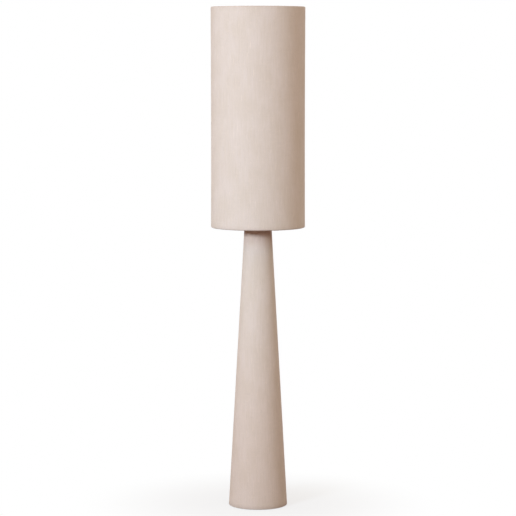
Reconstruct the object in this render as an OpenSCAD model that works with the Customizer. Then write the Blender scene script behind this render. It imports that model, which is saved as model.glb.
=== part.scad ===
// Column floor lamp: a tall cloth drum shade on a cloth-covered cone, in millimetres.
// +Z is up and the origin is the centre of the foot, on the floor. +Y is the back of the
// lamp, where the cord leaves and where the two cloth covers have their seams.

/* [Overall] */
// Height of the whole lamp, from the floor to the shade's top edge
lamp_h = 1600; // [1330:10:1920]
// How far the column's top stands up inside the shade
column_into_shade = 25; // [20:1:40]

/* [Shade] */
// Outer diameter over the cloth, at the two wire rings
shade_d = 300; // [250:5:360]
// Height of the shade, edge to edge
shade_h = 700; // [580:10:840]
// How far the wall is drawn in at half height, on the radius
shade_waist = 0.8; // [0:0.1:1.5]
// Thickness of the shade's cloth
shade_cloth_t = 0.7; // [0.5:0.1:1]
// Thickness of the stiff white lining behind the cloth
shade_liner_t = 0.5; // [0.4:0.1:0.8]
// Diameter of the wire in the two rings
shade_wire_d = 4; // [3:0.5:5]
// Length of turned-in cloth that lies flat on the lining
shade_hem = 8; // [5:1:14]
// Number of arms that carry the shade
arm_count = 3; // [3:1:4]
// Diameter of the arms' wire
arm_wire_d = 4; // [3:0.5:5]
// Outer diameter of the flat ring in the middle of the arms
fitter_d = 66; // [64:1:80]
// Thickness of that ring
fitter_t = 2; // [1.5:0.5:3]

/* [Column] */
// Outer diameter of the column at the floor, over the cloth
column_foot_d = 188; // [156:2:226]
// Outer diameter of the column at its top, over the cloth
column_top_d = 84; // [70:1:101]
// Thickness of the column's cloth
column_cloth_t = 0.8; // [0.5:0.1:1]
// Thickness of the stiff cone that the cloth covers
column_liner_t = 1.6; // [1:0.1:2.4]
// Length of cloth turned in at each end of the cone
column_hem = 18; // [10:1:30]
// Gap between the cloth's lower fold and the floor
foot_gap = 1; // [0.6:0.1:2]
// Sheet thickness of the pressed cap on top of the cone
cap_t = 1.5; // [1:0.1:2]
// Height of the cap's rim, which plugs into the cone
cap_rim_h = 10; // [6:1:16]

/* [Base] */
// Thickness of the felt that the lamp stands on
felt_t = 2.5; // [2:0.5:4]
// How far the felt's edge is set in from the steel plate's
felt_inset = 3; // [1:1:10]
// Diameter of the felt's middle hole, for a socket spanner
felt_hole_d = 44; // [36:1:52]
// Thickness of the steel plate that closes the foot
plate_t = 3; // [3:0.5:5]
// Height of the cast weight
weight_h = 36; // [30:1:44]
// Diameter of the pocket under the weight for the nut
pocket_d = 30; // [28:1:34]
// Depth of that pocket
pocket_h = 12; // [10:1:14]
// Diameter of the circle that the plate screws stand on
plate_screw_pcd = 130; // [110:1:136]
// Number of plate screws
plate_screw_count = 3; // [3:1:6]
// Thread diameter of the plate screws
plate_screw_d = 5; // [4:0.5:6]

/* [Cord gland] */
// Diameter of the flex that the gland takes
cord_d = 7; // [5.5:0.1:7.5]
// Diameter of the gland's body, in the wall
gland_body_d = 11; // [10:0.5:12]
// Diameter of the gland's outer flange
gland_flange_d = 15; // [14:0.5:16]
// Height of the gland's centre above the floor
gland_z = 12.5; // [11:0.5:15]

/* [Centre tube] */
// Outer diameter of the steel tube
tube_d = 13; // [12.5:0.5:16]
// Bore of the tube between its threaded ends
tube_bore = 9; // [8:0.5:9.5]
// Thread diameter of the two hollow nipples
nipple_d = 10; // [9:0.5:11]
// Bore of the nipples
nipple_bore = 7.5; // [7:0.1:8]
// Pitch of the nipples' thread
nipple_pitch = 1; // [0.75:0.25:1.5]
// Width across flats of the hexagon nuts
nut_af = 17; // [15:1:20]
// Thickness of the nuts
nut_h = 5; // [4:0.5:6]
// Outer diameter of the washers
washer_d = 24; // [21:1:26]
// Thickness of the washers
washer_t = 1.5; // [1:0.5:2]

/* [Wiring] */
// Diameter of one insulated core
core_d = 2.2; // [1.8:0.1:2.6]
// Width, depth and height of the terminal block
block_size = [30, 20, 15];
// Distance between the block's poles
pole_pitch = 9; // [8:0.5:9.5]

/* [Lamp-holder] */
// Outer diameter of the holder's threaded skirt
holder_d = 40; // [38:0.5:41.5]
// Wall of the holder's plastic parts
holder_wall = 1.8; // [1.4:0.1:2.4]
// Pitch of the skirt's outer thread
holder_pitch = 2.5; // [2:0.5:3]
// Diameter of the holder's flange, under the shade's flat ring
holder_flange_d = 51; // [46:1:58]
// Outer diameter of the clamp ring
clamp_ring_d = 57; // [54:1:62]
// Height of the clamp ring
clamp_ring_h = 8; // [6:1:10]

/* [Bulb] */
// Diameter of the bulb's globe
bulb_d = 60; // [50:1:72]
// Length of the bulb, from its contact to its top
bulb_h = 108; // [100:1:120]
// Crest diameter of the bulb cap's thread
bulb_thread_d = 26.2; // [26:0.1:26.4]
// Pitch of the bulb cap's thread
bulb_pitch = 3.6; // [3.5:0.1:3.7]

/* [Hidden] */

$fn = 96;

// Colours, as in the photograph or as such parts are made
linen = [0.84, 0.78, 0.72];
lining_white = [0.93, 0.92, 0.89];
board_grey = [0.70, 0.68, 0.64];
sand_paint = [0.80, 0.75, 0.69];
zinc = [0.72, 0.73, 0.75];
iron = [0.23, 0.23, 0.24];
felt_grey = [0.27, 0.26, 0.25];
black_plastic = [0.07, 0.07, 0.07];
white_plastic = [0.93, 0.93, 0.92];
brass = [0.78, 0.62, 0.30];
nickel = [0.78, 0.77, 0.74];
porcelain = [0.92, 0.91, 0.87];

// Clearances
glue_gap = 0.05;       // between a cloth and what it is laminated to
thread_gap = 0.05;     // between a plain bore and the thread in it
wedge_gap = 0.05;      // between the cone's turned-in cloth and what plugs into it
plate_gap = 0.4;       // round the base plate's edge
turn_gap = 0.12;       // between two threads that turn on each other
fitter_gap = 1;        // between the skirt's crests and the shade's flat ring
hole_gap = 0.3;        // round a screw or a nipple in a clearance hole
notch_gap = 0.4;       // round an arm where it leaves the hem
eps = 0.1;             // how far a cutter runs past the face it opens

// Levels of the whole lamp
shade_z = lamp_h - shade_h;
column_z = shade_z + column_into_shade;
plate_z = felt_t;
weight_z = plate_z + plate_t;
weight_top_z = weight_z + weight_h;
pocket_z = weight_z + pocket_h;

// The cone: its wall, and the room inside its turned-in cloth
cloth_fold_z = column_z - cap_t;
column_slope = (column_top_d - column_foot_d) / 2 / (cloth_fold_z - foot_gap);
column_fold_r = column_liner_t / 2 + glue_gap + column_cloth_t / 2;
column_fold_h = column_fold_r + column_cloth_t / 2;
column_wall = 2 * column_cloth_t + column_liner_t + 2 * glue_gap;
function column_r(z) = column_foot_d / 2 + column_slope * (z - foot_gap);
function plug_r(z) = column_r(z) - column_wall - wedge_gap;
plate_r = column_r(weight_z) - column_wall - plate_gap;

// The shade: the fold of cloth round each wire ring
shade_r = shade_d / 2;
fold_half = (shade_wire_d + shade_liner_t + 3 * glue_gap) / 2;
shade_fold_r = fold_half + shade_cloth_t / 2;
fold_r = shade_r - shade_cloth_t / 2 - shade_fold_r;
fold_rise = shade_cloth_t / 2 + shade_fold_r;
shade_wire_r = fold_r - fold_half + shade_wire_d / 2 + glue_gap;
hem_lean = 35;         // degrees that the cloth leans out below the wire, towards the lining
wall_steps = 12;
shade_mid_z = shade_z + shade_h / 2;
shade_half = shade_h / 2 - fold_rise;
function wall_r(z) =
  shade_r - shade_cloth_t / 2 - shade_waist * (1 - pow((z - shade_mid_z) / shade_half, 2));
function hem_r(z) = wall_r(z) - shade_cloth_t - shade_liner_t - 2 * glue_gap;

// The lamp-holder, measured up from its own neck
holder_z = column_z + washer_t + nut_h;
neck_h = 6;
neck_d = 17;
dome_r = (holder_d - 2 - neck_d) / 2;
dome_top_z = holder_z + 26;
socket_r = dome_r + neck_d / 2 - holder_wall - thread_gap;
flange_t = 2.5;
seat_z = dome_top_z + flange_t;
insert_ledge_z = seat_z + 1.5;
insert_flange_t = 3;
insert_top_z = insert_ledge_z + insert_flange_t;
insert_h = 14;
skirt_z = holder_z + 60;
skirt_crest_r = holder_d / 2;
skirt_root_r = skirt_crest_r - 0.8;
skirt_in_r = skirt_root_r - 2.2;
ledge_r = socket_r - holder_wall;
terminal_size = 5;
live_x = -9;           // under the centre contact
neutral_x = 12;        // under the screw shell's foot
terminal_z = insert_top_z - insert_h - terminal_size;
core_bite = 3.5;       // length of a core inside its terminal
clamp_axis = 2;        // height of the clamping screw in the terminal
tail_d = 2.2;

// The bulb, measured up from its contact
contact_z = insert_top_z + 3.5;
bulb_thread_depth = 0.9;
shell_t = 0.5;
cap_thread_z = contact_z + 6.5;
cap_turns = 4;
shell_turns = 3;
shell_mouth = 1.2;     // how far the shell widens above its last turn, on the radius
cap_top_z = contact_z + 26.5;
cap_wall = 0.35;
globe_r = bulb_d / 2;
globe_z = contact_z + bulb_h - globe_r;
globe_cut_z = globe_z - globe_r * 0.55;
globe_cut_r = sqrt(pow(globe_r, 2) - pow(globe_r * 0.55, 2));
globe_t = 1.2;
housing_wall = 1.5;
board_z = globe_cut_z - 2.2;
board_t = 1.6;
board_r = globe_cut_r - housing_wall - 1;
board_ledge = 1.8;

// The arms
clamp_z = seat_z + fitter_t;
arm_end_r = fitter_d / 2 - 2.5;
arm_foot = [shade_wire_r, shade_z + fold_rise];
arm_head = [arm_end_r, seat_z + fitter_t / 2];
arm_turn = 90;         // direction of the first arm, which points at the back

// The wiring in the foot
riser_inset = 24;      // from the foot's outer edge to the axis of the flex's riser
block_inset = 47;      // from the same edge to the terminal block's middle
riser_y = column_foot_d / 2 - riser_inset;
riser_d = 11;
block_y = column_foot_d / 2 - block_inset;
lug_at = [32, 20];
wire_side = core_d / 2 + 0.5;
wire_door_z = weight_top_z + 40;
wire_door_d = 8;

// ---- Shared forms ----

// Points on an arc round centre c, from angle a0 to a1
function arc(c, r, a0, a1, n) = [for (i = [0:n]) let (a = a0 + (a1 - a0) * i / n) c + r * [cos(a), sin(a)]];

function unit(v) = v / norm(v);

// Direction of a path at its point i
function along(path, i) = unit(path[min(i + 1, len(path) - 1)] - path[max(i - 1, 0)]);

// Outline of a strip of thickness t that follows a flat path
function strip(path, t) = let (
    side = [for (i = [0:len(path) - 1]) let (d = along(path, i)) [d.y, -d.x] * t / 2]
  ) concat(
    [for (i = [0:len(path) - 1]) path[i] + side[i]],
    [for (i = [len(path) - 1:-1:0]) path[i] - side[i]]
  );

// Saw-tooth thread profile between two heights, measured from the thread's first root
function thread_r(z, root_r, crest_r, pitch) =
  let (turn = z / pitch, part = turn - floor(turn)) root_r + (crest_r - root_r) * (1 - abs(2 * part - 1));
function thread(root_r, crest_r, pitch, from_z, z0, z1) = concat(
    [[thread_r(z0 - from_z, root_r, crest_r, pitch), z0]],
    [for (i = [floor((z0 - from_z) / pitch * 2 + 1.001):ceil((z1 - from_z) / pitch * 2 - 1.001)])
      [thread_r(i * pitch / 2, root_r, crest_r, pitch), from_z + i * pitch / 2]],
    [[thread_r(z1 - from_z, root_r, crest_r, pitch), z1]]
  );

// Rounded thread profile of the bulb cap, and of the shell that it turns in, grown by gap
bulb_thread_steps = 6;
function bulb_thread(gap, turns) = [for (i = [0:turns * bulb_thread_steps])
    [bulb_thread_d / 2 - bulb_thread_depth / 2 * (1 + cos(i * 360 / bulb_thread_steps)) + gap,
      cap_thread_z + i * bulb_pitch / bulb_thread_steps]];

// Side directions carried along a space path without twist
function carried(path, i, side) =
  i >= len(path) ? [] : let (d = along(path, i), s = unit(side - d * (side * d)))
    concat([s], carried(path, i + 1, s));

// Smooth path through a few points: n steps between each two
function bend(p, n) = [for (i = [0:len(p) - 2], k = [0:n - 1 + (i == len(p) - 2 ? 1 : 0)])
    let (t = k / n, a = p[max(i - 1, 0)], b = p[i], c = p[i + 1], d = p[min(i + 2, len(p) - 1)])
      (2 * b + (c - a) * t + (2 * a - 5 * b + 4 * c - d) * t * t + (3 * b - a - 3 * c + d) * t * t * t) / 2];

wire_sides = 8;
module wire(path, d) {
  side = carried(path, 0, [1, 0.02, 0.01]);
  n = len(path);
  step = 360 / wire_sides;
  points = [for (i = [0:n - 1]) let (u = side[i], v = cross(along(path, i), u))
      for (k = [0:wire_sides - 1]) path[i] + d / 2 * (u * cos(k * step) + v * sin(k * step))];
  walls = [for (i = [0:n - 2], k = [0:wire_sides - 1])
      let (a = i * wire_sides + k, b = i * wire_sides + (k + 1) % wire_sides)
      [a, a + wire_sides, b + wire_sides, b]];
  first = [for (k = [0:wire_sides - 1]) k];
  last = [for (k = [wire_sides - 1:-1:0]) (n - 1) * wire_sides + k];
  polyhedron(points, concat(walls, [first, last]));
}

module ring(inner_r, outer_r, z, h) {
  translate([0, 0, z]) difference() {
    cylinder(r = outer_r, h = h);
    translate([0, 0, -eps]) cylinder(r = inner_r, h = h + 2 * eps);
  }
}

// A screw that points down from z, with a domed head and a cross slot
module pan_screw(d, length, head_d, head_h, z) {
  translate([0, 0, z]) difference() {
    union() {
      translate([0, 0, -length]) cylinder(d = d, h = length, $fn = 32);
      cylinder(d1 = head_d, d2 = head_d * 0.7, h = head_h, $fn = 32);
    }
    for (a = [0, 90]) rotate(a) translate([-head_d * 0.3, -head_d * 0.06, head_h * 0.5])
      cube([head_d * 0.6, head_d * 0.12, head_h]);
  }
}

// ---- Column ----

// Hole through the cone's wall for the gland
module gland_hole() {
  translate([0, column_foot_d / 2 - 12, gland_z]) rotate([-90, 0, 0])
    cylinder(d = gland_body_d + 2 * thread_gap, h = 24);
}

module column_cover() {
  low = foot_gap + column_fold_h;
  high = cloth_fold_z - column_fold_h;
  lower = [column_r(low) - column_fold_h, low];
  upper = [column_r(high) - column_fold_h, high];
  hem_run = [column_slope, 1] * column_hem;
  path = concat(
    [lower - [column_fold_r, 0] + hem_run],
    arc(lower, column_fold_r, 180, 360, 8),
    arc(upper, column_fold_r, 0, 180, 8),
    [upper - [column_fold_r, 0] - hem_run]
  );
  color(linen) difference() {
    rotate_extrude() polygon(strip(path, column_cloth_t));
    gland_hole();
  }
}

module column_liner() {
  low = foot_gap + column_fold_h;
  high = cloth_fold_z - column_fold_h;
  out = column_cloth_t + glue_gap;
  color(board_grey) difference() {
    rotate_extrude() polygon([
      [column_r(low) - out, low], [column_r(high) - out, high],
      [column_r(high) - out - column_liner_t, high], [column_r(low) - out - column_liner_t, low]
    ]);
    gland_hole();
  }
}

module column_cap() {
  rim_top = cloth_fold_z;
  rim_low = cloth_fold_z - cap_rim_h;
  rim_r = plug_r(rim_top);
  edge_r = column_r(cloth_fold_z);
  color(sand_paint) difference() {
    rotate_extrude() polygon(concat(
      [[0, column_z], [0, rim_top], [rim_r - cap_t, rim_top], [rim_r - cap_t, rim_low]],
      [[rim_r, rim_low], [rim_r, rim_top]],
      arc([edge_r - cap_t / 2, column_z - cap_t / 2], cap_t / 2, -90, 90, 8)
    ));
    translate([0, 0, rim_top - eps]) cylinder(d = nipple_d + 2 * hole_gap, h = cap_t + 2 * eps);
  }
}

// ---- Base ----

module plate_screw_places() {
  for (i = [0:plate_screw_count - 1]) rotate(30 + i * 360 / plate_screw_count)
    translate([plate_screw_pcd / 2, 0, 0]) children();
}

screw_bite = 12;
csk_h = plate_screw_d / 2;

// Blind hole a little deeper than its screw, drawn upwards from just outside the face
module tapped_hole(d, bite) {
  cylinder(d = d + 2 * thread_gap, h = bite + 1 + eps, $fn = 48);
}

module base_weight() {
  channel_w = gland_flange_d;
  channel_h = gland_z - weight_z + gland_flange_d / 2;
  color(iron) difference() {
    rotate_extrude() polygon([
      [0, weight_z], [plug_r(weight_z), weight_z], [plug_r(weight_top_z - 3), weight_top_z - 3],
      [plug_r(weight_top_z) - 3, weight_top_z], [0, weight_top_z]
    ]);
    translate([0, 0, weight_z - eps]) cylinder(d = nipple_d + 2 * hole_gap, h = weight_h + 2 * eps);
    translate([0, 0, weight_z - eps]) cylinder(d = pocket_d, h = pocket_h + eps);
    // Channel and riser for the flex, from the gland to the terminal block
    translate([-channel_w / 2, riser_y - riser_d / 2, weight_z - eps])
      cube([channel_w, column_foot_d, channel_h + eps]);
    translate([0, riser_y, weight_z - eps]) cylinder(d = riser_d, h = weight_h + 2 * eps);
    plate_screw_places() translate([0, 0, weight_z - eps]) tapped_hole(plate_screw_d, screw_bite);
    translate([0, 0, weight_top_z + eps]) mirror([0, 0, 1]) {
      block_screw_places() tapped_hole(block_screw_d, block_bite);
      translate(lug_at) tapped_hole(earth_screw_d, earth_bite);
    }
  }
}

module base_plate() {
  clear_d = plate_screw_d + 2 * hole_gap;
  color(zinc) difference() {
    ring(pocket_d / 2 + 2, plate_r, plate_z, plate_t);
    plate_screw_places() translate([0, 0, plate_z]) {
      cylinder(d1 = clear_d + plate_screw_d, d2 = clear_d, h = csk_h + hole_gap, $fn = 48);
      translate([0, 0, -eps]) cylinder(d = clear_d, h = plate_t + 2 * eps, $fn = 48);
    }
  }
}

module plate_screws() {
  color(zinc) plate_screw_places() translate([0, 0, plate_z]) difference() {
    union() {
      cylinder(r1 = plate_screw_d * 0.95, r2 = plate_screw_d / 2 - 0.05, h = csk_h, $fn = 48);
      translate([0, 0, csk_h / 2])
        cylinder(d = plate_screw_d, h = plate_t + screw_bite - csk_h / 2, $fn = 48);
    }
    translate([0, 0, -eps]) cylinder(d = plate_screw_d * 0.7, h = 1.4 + eps, $fn = 6);
  }
}

module felt_pad() {
  color(felt_grey) ring(felt_hole_d / 2, plate_r - felt_inset, 0, felt_t);
}

// Snap-in bush: its bore is where the flex passes
gland_bore_r = cord_d / 2 + 0.1;
gland_wall_r = column_r(gland_z);
gland_flange_t = 2;
gland_lip_t = 1.8;
gland_in_y = gland_wall_r - column_wall - gland_lip_t;

module column_core(outset) {
  h = 60;
  translate([0, 0, foot_gap])
    cylinder(r1 = column_r(foot_gap) + outset, r2 = column_r(foot_gap + h) + outset, h = h);
}

module cord_gland() {
  reach = gland_wall_r + gland_flange_t - gland_in_y;
  color(black_plastic) difference() {
    union() {
      translate([0, gland_in_y, gland_z]) rotate([-90, 0, 0]) cylinder(d = gland_body_d, h = reach);
      // Outer flange, bedded on the cloth
      difference() {
        translate([0, gland_wall_r - 3, gland_z]) rotate([-90, 0, 0])
          cylinder(d = gland_flange_d, h = gland_flange_t + 3);
        column_core(glue_gap);
      }
      // Inner lip, behind the turned-in cloth
      intersection() {
        translate([0, gland_in_y, gland_z]) rotate([-90, 0, 0])
          cylinder(d1 = gland_body_d, d2 = gland_body_d + 2, h = 4);
        column_core(-column_wall - glue_gap);
      }
    }
    translate([0, gland_in_y - eps, gland_z]) rotate([-90, 0, 0])
      cylinder(r = gland_bore_r, h = reach + 2 * eps);
  }
}

// ---- Centre tube and its nuts ----

nipple_bite = 16;      // length of thread in the tube's end

module nipple(z0, z1) {
  color(zinc) difference() {
    rotate_extrude() polygon(concat(
      [[0, z1], [0, z0]],
      thread(nipple_d / 2 - nipple_pitch * 0.5, nipple_d / 2, nipple_pitch, z0, z0, z1)
    ));
    translate([0, 0, z0 - eps]) cylinder(d = nipple_bore, h = z1 - z0 + 2 * eps);
  }
}

module lower_nipple() {
  nipple(pocket_z - washer_t - nut_h - 2, weight_top_z + nipple_bite);
}

module upper_nipple() {
  nipple(cloth_fold_z - nipple_bite, holder_z + neck_h + holder_wall);
}

module nut(z) {
  color(zinc) translate([0, 0, z]) difference() {
    cylinder(d = nut_af / cos(30), h = nut_h, $fn = 6);
    translate([0, 0, -eps]) cylinder(d = nipple_d + 2 * thread_gap, h = nut_h + 2 * eps);
  }
}

module washer(z) {
  color(zinc) ring(nipple_d / 2 + hole_gap, washer_d / 2, z, washer_t);
}

module lower_washer() {
  washer(pocket_z - washer_t);
}

module lower_nut() {
  nut(pocket_z - washer_t - nut_h);
}

module cap_washer() {
  washer(column_z);
}

module cap_nut() {
  nut(column_z + washer_t);
}

module centre_tube() {
  socket_h = nipple_bite + 2;
  color(zinc) difference() {
    translate([0, 0, weight_top_z]) cylinder(d = tube_d, h = cloth_fold_z - weight_top_z);
    translate([0, 0, weight_top_z - eps]) cylinder(d = tube_bore, h = cloth_fold_z - weight_top_z + 2 * eps);
    for (z = [weight_top_z - eps, cloth_fold_z - socket_h]) translate([0, 0, z])
      cylinder(d = nipple_d + 2 * thread_gap, h = socket_h + eps);
    // Door for the two cores
    translate([0, 0, wire_door_z]) rotate([-90, 0, 0]) cylinder(d = wire_door_d, h = tube_d, $fn = 32);
  }
}

// ---- Wiring in the foot ----

block_screw_d = 3;
block_bite = 7;
waist_h = 4;
block_z = weight_top_z;
well_d = 4.4;
pole_z = block_z + block_size.z * 0.42;
block_front_y = block_y - block_size.y / 2;

module block_screw_places() {
  for (side = [-1, 1]) translate([side * pole_pitch / 2, block_y, 0]) children();
}

module pole_places() {
  for (pole = [-1:1]) translate([pole * pole_pitch, block_y, 0]) children();
}

module terminal_block() {
  waist_w = block_screw_d + 1.2;
  color(white_plastic) difference() {
    translate([-block_size.x / 2, block_front_y, block_z]) cube(block_size);
    pole_places() {
      translate([0, block_size.y / 2 + eps, pole_z]) rotate([90, 0, 0])
        cylinder(d = core_d * 1.6, h = block_size.y + 2 * eps, $fn = 24);
      for (side = [-1, 1]) translate([0, side * block_size.y / 4, pole_z + core_d])
        cylinder(d = well_d, h = block_size.z, $fn = 24);
    }
    block_screw_places() {
      translate([0, 0, block_z - eps])
        cylinder(d = block_screw_d + 2 * thread_gap, h = block_size.z + 2 * eps, $fn = 24);
      // Waist between two poles, where the screw's head sits
      translate([-waist_w / 2, -block_size.y, block_z + block_size.z - waist_h])
        cube([waist_w, block_size.y * 2, waist_h + eps]);
    }
  }
}

module terminal_screws() {
  seat = pole_z + core_d;
  color(brass) pole_places() for (side = [-1, 1]) translate([0, side * block_size.y / 4, seat]) difference() {
    cylinder(d = well_d - 2 * thread_gap, h = 4, $fn = 24);
    translate([-well_d, -0.4, 3]) cube([well_d * 2, 0.8, 2]);
  }
}

module block_screws() {
  head_z = block_z + block_size.z - waist_h;
  length = head_z - weight_top_z + block_bite;
  color(zinc) block_screw_places() pan_screw(block_screw_d, length, block_screw_d + 0.8, 2, head_z);
}

earth_screw_d = 4;
earth_bite = 8;
lug_t = 0.8;
lug_turn = atan2(block_front_y - lug_at.y - 3, pole_pitch - lug_at.x);
lug_barrel = [7.5, 12];

module earth_lug() {
  color(brass) translate([lug_at.x, lug_at.y, weight_top_z]) difference() {
    union() {
      cylinder(d = earth_screw_d * 2.2, h = lug_t);
      rotate(lug_turn) translate([0, -1.4, 0]) cube([lug_barrel[1], 2.8, lug_t]);
      rotate(lug_turn) translate([lug_barrel[0], 0, lug_t + core_d * 0.6]) rotate([0, 90, 0]) difference() {
        cylinder(d = core_d + 1.2, h = lug_barrel[1] - lug_barrel[0], $fn = 24);
        translate([0, 0, 1]) cylinder(d = core_d + 2 * thread_gap, h = lug_barrel[1], $fn = 24);
      }
    }
    translate([0, 0, -eps]) cylinder(d = earth_screw_d + 2 * hole_gap, h = lug_t + 2 * eps, $fn = 32);
  }
}

module earth_screw() {
  color(brass) translate(lug_at)
    pan_screw(earth_screw_d, earth_bite + lug_t, earth_screw_d * 1.8, 2.4, weight_top_z + lug_t);
}

module earth_lead() {
  way = [cos(lug_turn), sin(lug_turn), 0];
  start = [lug_at.x, lug_at.y, weight_top_z + lug_t + core_d * 0.6] + way * (lug_barrel[0] + 1);
  finish = [pole_pitch, block_front_y + 2, pole_z];
  path = bend([start, start + way * 2, start + way * 4, start + way * 6,
    finish - [-2, 8, 2], finish - [0, 5, 0], finish], 5);
  color([0.45, 0.62, 0.20]) wire(path, core_d);
}

// Two quarter turns that carry a path from height z0 at x0 to height z1 at x1
function side_step(x0, x1, z0, z1, n) =
  let (r = (z1 - z0) / 2, way = sign(x1 - x0)) concat(
    [for (i = [0:n]) [x0 + way * r * (1 - cos(90 * i / n)), 0, z0 + r * sin(90 * i / n)]],
    [for (i = [0:n]) [x1 - way * r * (1 - sin(90 * i / n)), 0, z1 - r * cos(90 * i / n)]]
  );

// A core from its pole in the foot, through the tube, to the lamp-holder
module core(side, pole, terminal_x) {
  start = [pole * pole_pitch, block_front_y + 2, pole_z];
  in_tube_x = side * wire_side;
  door = [in_tube_x, tube_d / 2, wire_door_z];
  neck_top = holder_z + neck_h + holder_wall;
  foot_run = bend([start, start - [0, 6, 0], start * 0.55 + door * 0.45 + [0, 2, -4], door + [0, 3, -5],
    [in_tube_x, 0, wire_door_z + 6], [in_tube_x, 0, wire_door_z + 20]], 6);
  head_run = side_step(in_tube_x, terminal_x, neck_top + 0.2, terminal_z - 0.2, 6);
  wire(concat(foot_run, head_run, [[terminal_x, 0, terminal_z + core_bite]]), core_d);
}

module live_wire() {
  color([0.36, 0.20, 0.12]) core(-1, -1, live_x);
}

module neutral_wire() {
  color([0.16, 0.34, 0.66]) core(1, 0, neutral_x);
}

// ---- Lamp-holder ----

module holder_cap() {
  dome_c = [neck_d / 2, holder_z + neck_h + dome_r];
  out_r = neck_d / 2 + dome_r;
  in_r = dome_r - holder_wall;
  color(black_plastic) difference() {
    rotate_extrude() polygon(concat(
      [[0, holder_z], [neck_d / 2, holder_z]],
      arc(dome_c, dome_r, -90, 0, 10),
      [[out_r, dome_top_z], [out_r - holder_wall, dome_top_z]],
      arc(dome_c, in_r, 0, -90, 10),
      [[0, dome_c.y - in_r]]
    ));
    translate([0, 0, holder_z - eps])
      cylinder(d = nipple_d + 2 * thread_gap, h = neck_h + holder_wall + 2 * eps);
    grub_place(thread_gap, neck_d);
  }
}

grub_d = 3;
module grub_place(gap, length) {
  translate([0, 0, holder_z + neck_h / 2]) rotate([0, 90, 0])
    cylinder(d = grub_d + 2 * gap, h = length, $fn = 24);
}

module holder_grub_screw() {
  color(zinc) difference() {
    grub_place(0, neck_d / 2);
    translate([0, 0, holder_z - eps]) cylinder(r = nipple_d / 2 + thread_gap, h = neck_h + 2 * eps);
    translate([neck_d / 2 - 0.8, -0.35, holder_z]) cube([2, 0.7, neck_h]);
  }
}

thread_z = seat_z + 0.5;
thread_end_z = skirt_z - 1.5;
module holder_body() {
  low = dome_top_z - 8;
  color(black_plastic) rotate_extrude() polygon(concat(
    [[ledge_r, insert_ledge_z], [ledge_r, low], [socket_r, low], [socket_r, dome_top_z]],
    [[holder_flange_d / 2, dome_top_z], [holder_flange_d / 2, seat_z], [skirt_root_r, seat_z]],
    thread(skirt_root_r, skirt_crest_r, holder_pitch, thread_z, thread_z, thread_end_z),
    [[skirt_root_r, thread_end_z + 0.1], [skirt_root_r, skirt_z], [skirt_in_r, skirt_z]],
    [[skirt_in_r, insert_ledge_z]]
  ));
}

module holder_insert() {
  body_r = ledge_r - hole_gap;
  color(porcelain) difference() {
    rotate_extrude() polygon([
      [0, insert_top_z], [0, insert_top_z - insert_h], [body_r, insert_top_z - insert_h],
      [body_r, insert_ledge_z], [skirt_in_r - hole_gap, insert_ledge_z],
      [skirt_in_r - hole_gap, insert_top_z]
    ]);
    for (x = [live_x, neutral_x]) translate([x, 0, insert_top_z - insert_h - eps])
      cylinder(d = tail_d + 2 * thread_gap, h = insert_h + 2 * eps, $fn = 24);
  }
}

// Two brass terminals under the insert, with tails that reach its top face
module holder_terminals() {
  color(brass) for (x = [live_x, neutral_x]) translate([x, 0, terminal_z]) difference() {
    union() {
      translate([-terminal_size / 2, -terminal_size / 2, 0]) cube(terminal_size);
      cylinder(d = tail_d, h = insert_top_z - terminal_z, $fn = 24);
    }
    translate([0, 0, clamp_axis]) rotate([90, 0, 0])
      cylinder(d = clamp_d + 2 * thread_gap, h = terminal_size, $fn = 24);
    translate([0, 0, -eps]) cylinder(d = core_d + 2 * thread_gap, h = core_bite + eps, $fn = 24);
  }
}

clamp_d = 2.5;
module holder_terminal_screws() {
  reach = terminal_size / 2 - core_d / 2 - thread_gap;
  color(zinc) for (x = [live_x, neutral_x]) translate([x, -terminal_size / 2, terminal_z + clamp_axis])
    rotate([90, 0, 0]) pan_screw(clamp_d, reach, 4, 1.2, 0);
}

// Brass sleeve that the bulb's cap turns in, with a foot on the insert
module screw_shell() {
  inner = bulb_thread(turn_gap, shell_turns);
  low = inner[0];
  high = inner[len(inner) - 1];
  mouth_r = high.x + shell_mouth;
  top = high.y + 3.2;
  foot_r = skirt_in_r - 0.6;
  color(brass) rotate_extrude() polygon(concat(
    [[low.x, insert_top_z]], inner, [[mouth_r, high.y + 0.9], [mouth_r, top]],
    [[mouth_r + shell_t, top], [mouth_r + shell_t, high.y + 0.7]],
    [for (i = [len(inner) - 1:-1:0]) inner[i] + [shell_t, 0]],
    [[low.x + shell_t, insert_top_z + shell_t], [foot_r, insert_top_z + shell_t], [foot_r, insert_top_z]]
  ));
}

// Spring tongue under the bulb's contact
module centre_contact() {
  tongue_t = 0.5;
  top = contact_z - 0.1 - tongue_t / 2;
  low = insert_top_z + tongue_t / 2;
  path = [[live_x - 1.5, low], [live_x + 3.5, low], [-3, top - 0.3], [-1.5, top], [2.5, top], [4, top - 0.6]];
  color(brass) translate([0, 3, 0]) rotate([90, 0, 0]) linear_extrude(6) polygon(strip(path, tongue_t));
}

// Ring that clamps the shade's flat ring down on the holder's flange
grip_count = 30;
module clamp_ring() {
  top = clamp_z + clamp_ring_h;
  lead = 1;
  out = clamp_ring_d / 2;
  color(black_plastic) difference() {
    rotate_extrude() polygon(concat(
      thread(skirt_root_r + turn_gap, skirt_crest_r + turn_gap, holder_pitch, thread_z, clamp_z, top),
      [[out - lead, top], [out, top - lead], [out, clamp_z + lead], [out - lead, clamp_z]]
    ));
    for (i = [0:grip_count - 1]) rotate(i * 360 / grip_count) translate([out + 0.4, 0, clamp_z - eps])
      cylinder(r = 1.2, h = clamp_ring_h + 2 * eps, $fn = 20);
  }
}

// ---- Bulb ----

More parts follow.
